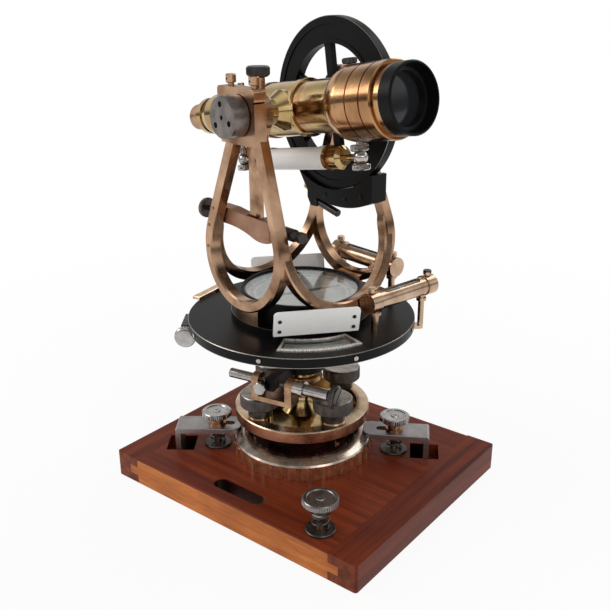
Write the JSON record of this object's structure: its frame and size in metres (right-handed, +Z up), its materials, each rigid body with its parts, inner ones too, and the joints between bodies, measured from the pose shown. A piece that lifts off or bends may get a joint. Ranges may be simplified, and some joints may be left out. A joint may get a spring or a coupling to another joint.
{
  "type": "surveyor's transit theodolite",
  "caption": "Transit theodolite with telescope, vertical circle, compass and spirit levels on a levelling base, clamped to a wooden display board.",
  "frame": {"origin": "on the instrument's vertical axis, at the underside of the display board", "axes": "+Z up; +X along the board's long side to the right; +Y to the rear edge of the board, away from the finger slot"},
  "size_m": [0.267, 0.2074, 0.3744],
  "materials": {
    "black_lacquer": "black lacquer",
    "blued_steel": "blued",
    "brass_old": "aged, satin",
    "brass_pale": "satin",
    "brass_polished": "polished",
    "bronze": "satin",
    "bronze_matte": "matte",
    "cast_steel": "cast, plated",
    "copper": "polished, dark",
    "dish_copper": "mottled, polished rim",
    "foot_bronze": "polished, worn",
    "glass": "clear",
    "gunmetal": "dark, polished edges",
    "lens_glass": "dark reflection",
    "mahogany": "satin varnish",
    "mahogany_dark": "satin varnish",
    "nickel": "polished",
    "silvered": "silvered, matte",
    "vial_glass": "grey, filled",
    "white_paint": "matte white"
  },
  "bodies": {
    "base": {"board_panel": "mahogany", "board_battens": "mahogany_dark", "screw_ferrules": "brass_old", "clamp_springs": "brass_old", "foot_plate": "foot_bronze", "levelling_shoes": "brass_old", "levelling_head": "dish_copper", "levelling_ball_nut": "bronze", "lower_tangent_bracket": "copper", "lower_tangent_barrels": "nickel"},
    "clamp_plate_left": {"clamp_plate_left": "cast_steel"},
    "clamp_plate_right": {"clamp_plate_right": "cast_steel"},
    "clamp_screw_left": {"clamp_screw_left": "nickel"},
    "clamp_screw_right": {"clamp_screw_right": "nickel"},
    "clamp_screw_front": {"clamp_screw_front": "gunmetal"},
    "levelling_screw_1": {"levelling_screw_1": "gunmetal"},
    "levelling_screw_2": {"levelling_screw_2": "gunmetal"},
    "levelling_screw_3": {"levelling_screw_3": "gunmetal"},
    "levelling_screw_4": {"levelling_screw_4": "gunmetal"},
    "limb": {"outer_spindle": "bronze", "horizontal_limb": "silvered"},
    "lower_clamp_collar": {"lower_clamp_collar": "black_lacquer"},
    "lower_clamp_screw": {"lower_clamp_screw": "nickel"},
    "lower_tangent_screw": {"lower_tangent_screw": "gunmetal"},
    "alidade": {"inner_spindle": "bronze", "vernier_plate": "black_lacquer", "vernier_frames": "brass_pale", "cover_glasses": "glass", "verniers": "silvered", "reflectors": "white_paint", "compass_box": "black_lacquer", "compass_dial": "silvered", "standards": "bronze", "bearing_caps": "bronze", "plate_levels": "brass_pale", "plate_level_vials": "vial_glass", "vertical_guard": "black_lacquer", "vertical_tangent_bracket": "bronze_matte", "vertical_spring_barrel": "gunmetal", "upper_tangent_housing": "gunmetal"},
    "upper_clamp_arm": {"upper_clamp_arm": "copper"},
    "upper_clamp_screw": {"upper_clamp_screw": "nickel"},
    "upper_tangent_screw": {"upper_tangent_screw": "nickel"},
    "compass_needle": {"compass_needle": "blued_steel"},
    "clamp_arm": {"clamp_arm": "brass_polished"},
    "clamp_arm_screw": {"clamp_arm_screw": "gunmetal"},
    "vertical_tangent_screw": {"vertical_tangent_screw": "gunmetal"},
    "telescope": {"telescope_tube": "brass_polished", "reticle": "nickel", "trunnion_axle": "brass_polished", "axle_end_discs": "nickel", "vertical_circle": "black_lacquer", "telescope_level_tube": "white_paint", "telescope_level_vial": "vial_glass", "telescope_level_ends": "brass_old"},
    "objective": {"objective_slide": "brass_polished", "objective_hood": "black_lacquer", "objective_lens": "lens_glass"},
    "eyepiece": {"eyepiece": "black_lacquer"},
    "focus_pinion": {"focus_pinion": "gunmetal"}
  },
  "joints": [
    {"name": "limb_turn", "type": "hinge", "parent": "base", "child": "limb", "pos_m": [0, 0, 0.11], "axis": [0, 0, 1], "continuous": true},
    {"name": "alidade_turn", "type": "hinge", "parent": "limb", "child": "alidade", "pos_m": [0, 0, 0.144], "axis": [0, 0, 1], "continuous": true},
    {"name": "telescope_tilt", "type": "hinge", "parent": "alidade", "child": "telescope", "pos_m": [0, 0, 0.3095], "axis": [0.1925, 0.9813, 0], "continuous": true},
    {"name": "levelling_screw_1_turn", "type": "hinge", "parent": "base", "child": "levelling_screw_1", "pos_m": [0.04095, -0.01136, 0.08], "axis": [0, 0, 1], "range_deg": [-720, 720]},
    {"name": "levelling_screw_2_turn", "type": "hinge", "parent": "base", "child": "levelling_screw_2", "pos_m": [0.01136, 0.04095, 0.08], "axis": [0, 0, 1], "range_deg": [-720, 720]},
    {"name": "levelling_screw_3_turn", "type": "hinge", "parent": "base", "child": "levelling_screw_3", "pos_m": [-0.04095, 0.01136, 0.08], "axis": [0, 0, 1], "range_deg": [-720, 720]},
    {"name": "levelling_screw_4_turn", "type": "hinge", "parent": "base", "child": "levelling_screw_4", "pos_m": [-0.01136, -0.04095, 0.08], "axis": [0, 0, 1], "range_deg": [-720, 720]},
    {"name": "clamp_screw_left_turn", "type": "hinge", "parent": "base", "child": "clamp_screw_left", "pos_m": [-0.05908, -0.04372, 0.04], "axis": [0, 0, 1], "range_deg": [0, 1440]},
    {"name": "clamp_plate_left_slide", "type": "slide", "parent": "base", "child": "clamp_plate_left", "axis": [-0.8039, -0.5948, 0], "range_m": [0, 0.008]},
    {"name": "clamp_screw_right_turn", "type": "hinge", "parent": "base", "child": "clamp_screw_right", "pos_m": [0.06772, 0.04069, 0.04], "axis": [0, 0, 1], "range_deg": [0, 1440]},
    {"name": "clamp_plate_right_slide", "type": "slide", "parent": "base", "child": "clamp_plate_right", "axis": [0.8572, 0.515, 0], "range_m": [0, 0.008]},
    {"name": "clamp_screw_front_turn", "type": "hinge", "parent": "base", "child": "clamp_screw_front", "pos_m": [0.0863, -0.0875, 0.04], "axis": [0, 0, 1], "range_deg": [0, 1440]},
    {"name": "lower_tangent_screw_turn", "type": "hinge", "parent": "base", "child": "lower_tangent_screw", "pos_m": [0.0578, -0.03987, 0.104], "axis": [0.9848, 0.1736, 0], "range_deg": [-580, 580]},
    {"name": "lower_clamp_collar_turn", "type": "hinge", "parent": "base", "child": "lower_clamp_collar", "pos_m": [0, 0, 0.103], "axis": [0, 0, 1], "range_deg": [-1.5, 1.5]},
    {"name": "lower_clamp_screw_turn", "type": "hinge", "parent": "lower_clamp_collar", "child": "lower_clamp_screw", "pos_m": [0.00133, -0.04038, 0.1009], "axis": [0.1736, -0.9848, 0], "range_deg": [0, 540]},
    {"name": "upper_tangent_screw_turn", "type": "hinge", "parent": "alidade", "child": "upper_tangent_screw", "pos_m": [-0.06544, -0.06935, 0.1295], "axis": [0.6018, -0.7986, 0], "range_deg": [-740, 740]},
    {"name": "upper_clamp_arm_turn", "type": "hinge", "parent": "alidade", "child": "upper_clamp_arm", "pos_m": [0, 0, 0.127], "axis": [0, 0, 1], "range_deg": [-1, 1]},
    {"name": "upper_clamp_screw_turn", "type": "hinge", "parent": "upper_clamp_arm", "child": "upper_clamp_screw", "pos_m": [-0.03112, -0.03347, 0.127], "axis": [-0.7986, -0.6018, 0], "range_deg": [0, 540]},
    {"name": "vertical_tangent_screw_turn", "type": "hinge", "parent": "alidade", "child": "vertical_tangent_screw", "pos_m": [-0.06696, -0.02966, 0.228], "axis": [-0.9813, 0.1925, 0], "range_deg": [-900, 900]},
    {"name": "clamp_arm_turn", "type": "hinge", "parent": "alidade", "child": "clamp_arm", "pos_m": [0, 0, 0.3095], "axis": [0.1925, 0.9813, 0], "range_deg": [-1.5, 1.5]},
    {"name": "clamp_arm_screw_turn", "type": "hinge", "parent": "clamp_arm", "child": "clamp_arm_screw", "pos_m": [-0.00491, -0.04061, 0.338], "axis": [0, 0, 1], "range_deg": [0, 540]},
    {"name": "compass_needle_turn", "type": "hinge", "parent": "alidade", "child": "compass_needle", "pos_m": [0, 0, 0.16], "axis": [0, 0, 1], "continuous": true},
    {"name": "focus_pinion_turn", "type": "hinge", "parent": "telescope", "child": "focus_pinion", "pos_m": [0.05324, -0.01045, 0.33814], "axis": [-0.1501, 0.0295, 0.9882], "range_deg": [-225, 0]},
    {"name": "objective_slide_travel", "type": "slide", "parent": "telescope", "child": "objective", "axis": [0.9697, -0.1903, 0.153], "range_m": [0, 0.012]},
    {"name": "eyepiece_travel", "type": "slide", "parent": "telescope", "child": "eyepiece", "axis": [-0.9697, 0.1903, -0.153], "range_m": [-0.004, 0]}
  ],
  "couplings": [
    {"joint": "lower_clamp_collar_turn", "follows": "lower_tangent_screw_turn", "ratio": 0.00258},
    {"joint": "upper_clamp_arm_turn", "follows": "upper_tangent_screw_turn", "ratio": 0.00135},
    {"joint": "clamp_arm_turn", "follows": "vertical_tangent_screw_turn", "ratio": 0.00156},
    {"joint": "focus_pinion_turn", "follows": "objective_slide_travel", "rad_per_m": -322.58}
  ]
}
